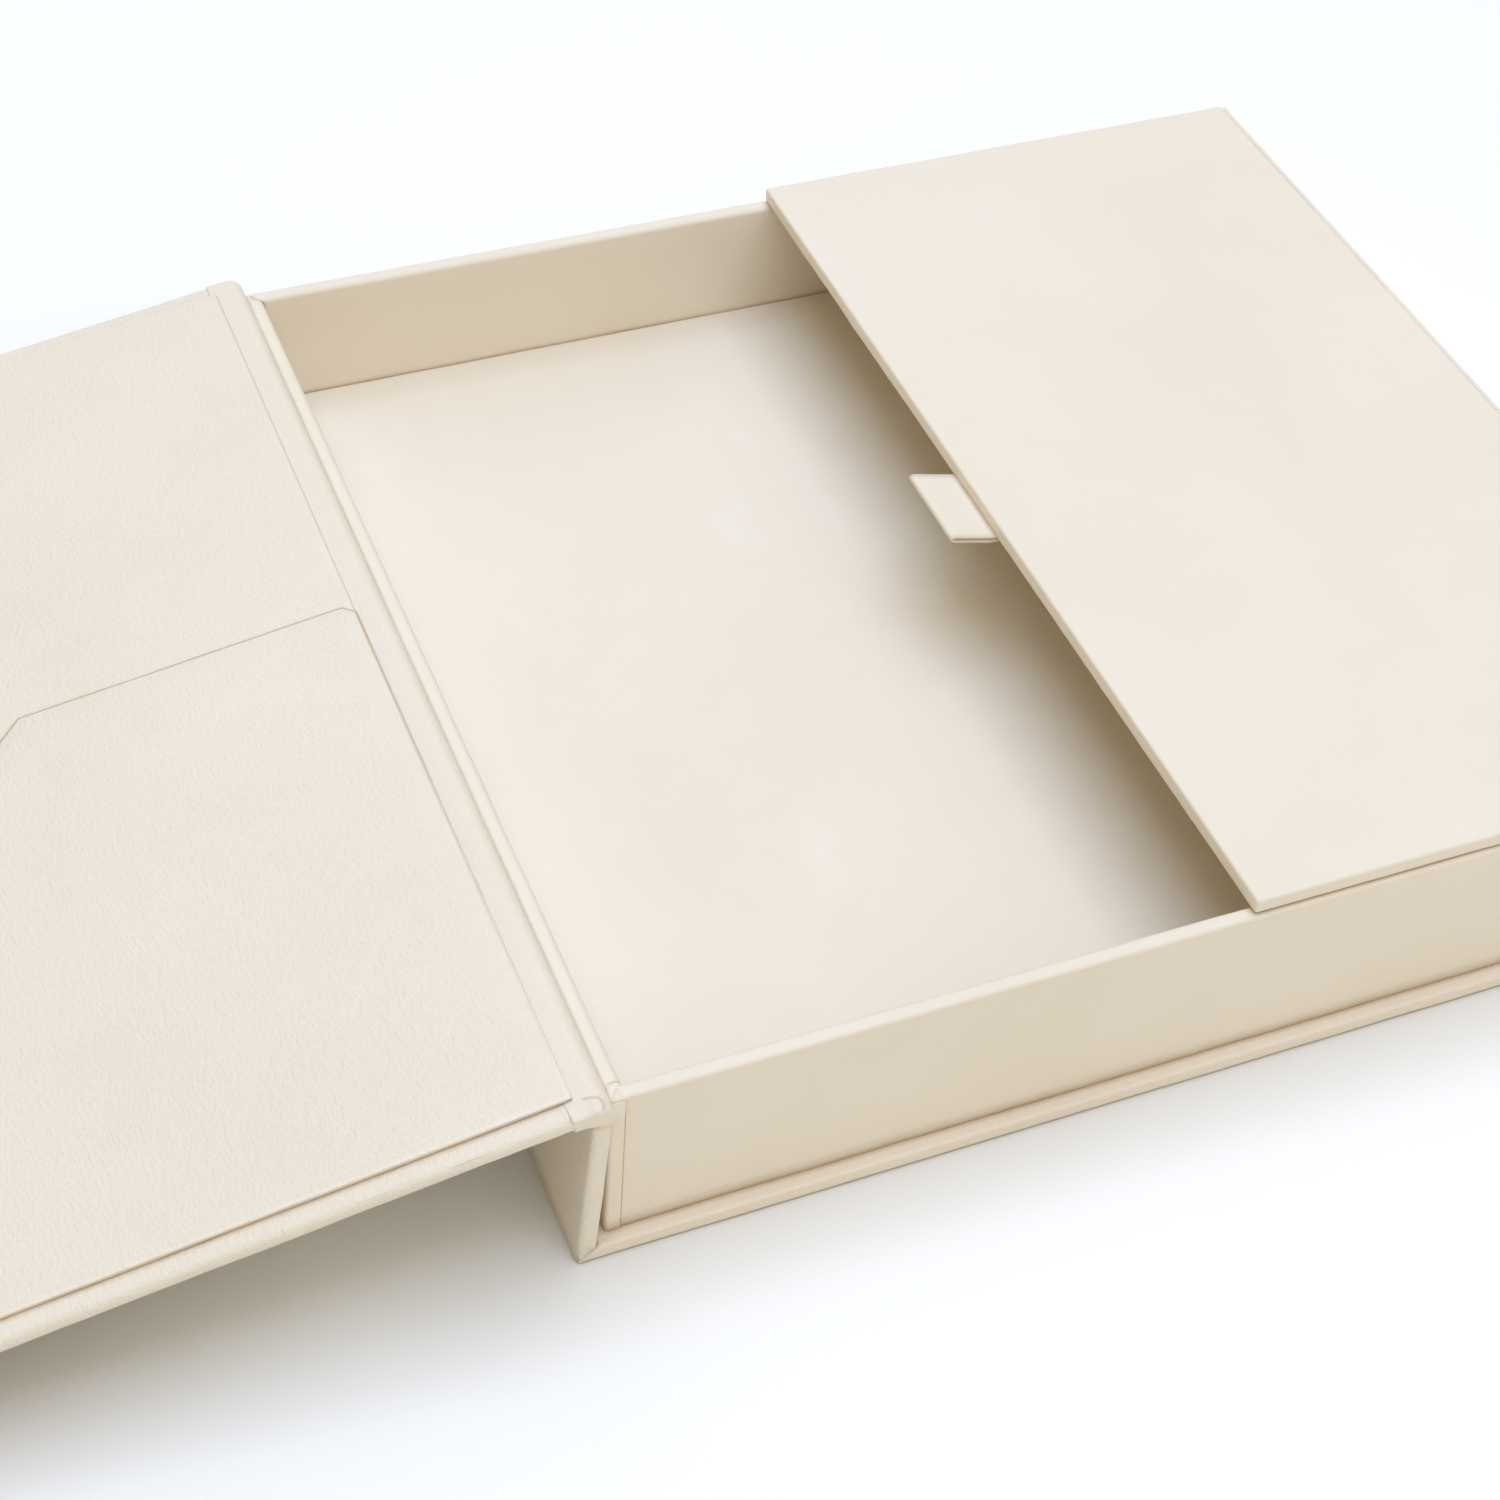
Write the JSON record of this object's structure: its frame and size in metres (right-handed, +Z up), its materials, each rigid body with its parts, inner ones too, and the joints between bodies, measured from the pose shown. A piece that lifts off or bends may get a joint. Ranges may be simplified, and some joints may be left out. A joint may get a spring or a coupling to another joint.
{
  "type": "clamshell book box",
  "caption": "Covered clamshell book box with a shallow tray, a hinged half lid with a pull tab, and a hinged cover with an inside pocket.",
  "frame": {"origin": "centre of the base's underside", "axes": "+X from the spine towards the fore edge, +Y from the near side to the far side, +Z up"},
  "size_m": [0.6269, 0.3, 0.0555],
  "materials": {
    "leatherette": "ivory, fine embossed grain, satin",
    "lining": "ivory, smooth grain, satin",
    "grey_board": "plain grey board",
    "foam": "plain soft pad"
  },
  "bodies": {
    "tray": {"base_board": "grey_board", "base_wrap": "leatherette", "base_lining": "lining", "tray_bottom_board": "grey_board", "wall_board_near": "grey_board", "wall_board_far": "grey_board", "wall_board_left": "grey_board", "wall_board_right": "grey_board", "wall_wrap_near": "leatherette", "wall_wrap_far": "leatherette", "wall_wrap_left": "leatherette", "wall_wrap_right": "leatherette", "floor_pad": "foam", "floor_card": "grey_board", "floor_lining": "lining"},
    "spine": {"spine_board": "grey_board", "spine_wrap": "leatherette", "spine_lining": "lining", "spine_foot_joint": "leatherette"},
    "cover": {"cover_board": "grey_board", "cover_wrap": "leatherette", "cover_lining": "lining", "pocket_sheet": "leatherette", "cover_joint_outer": "leatherette", "cover_joint_inner": "leatherette"},
    "lid": {"lid_board": "grey_board", "lid_wrap": "leatherette", "lid_lining": "lining", "lid_hinge_strip": "leatherette", "pull_tab": "leatherette"}
  },
  "joints": [
    {"name": "spine_fold", "type": "hinge", "parent": "tray", "child": "spine", "pos_m": [-0.15915, 0, 0], "axis": [0, -1, 0], "range_deg": [0, 93.4], "deforming": ["spine_foot_joint"]},
    {"name": "cover_hinge", "type": "hinge", "parent": "spine", "child": "cover", "pos_m": [-0.1565, 0, 0.05575], "axis": [0, 1, 0], "range_deg": [0, 189], "deforming": ["cover_joint_outer", "cover_joint_inner"]},
    {"name": "lid_hinge", "type": "hinge", "parent": "tray", "child": "lid", "pos_m": [0.15575, 0, 0.0509], "axis": [0, 1, 0], "range_deg": [0, 190], "deforming": ["lid_hinge_strip"]}
  ]
}
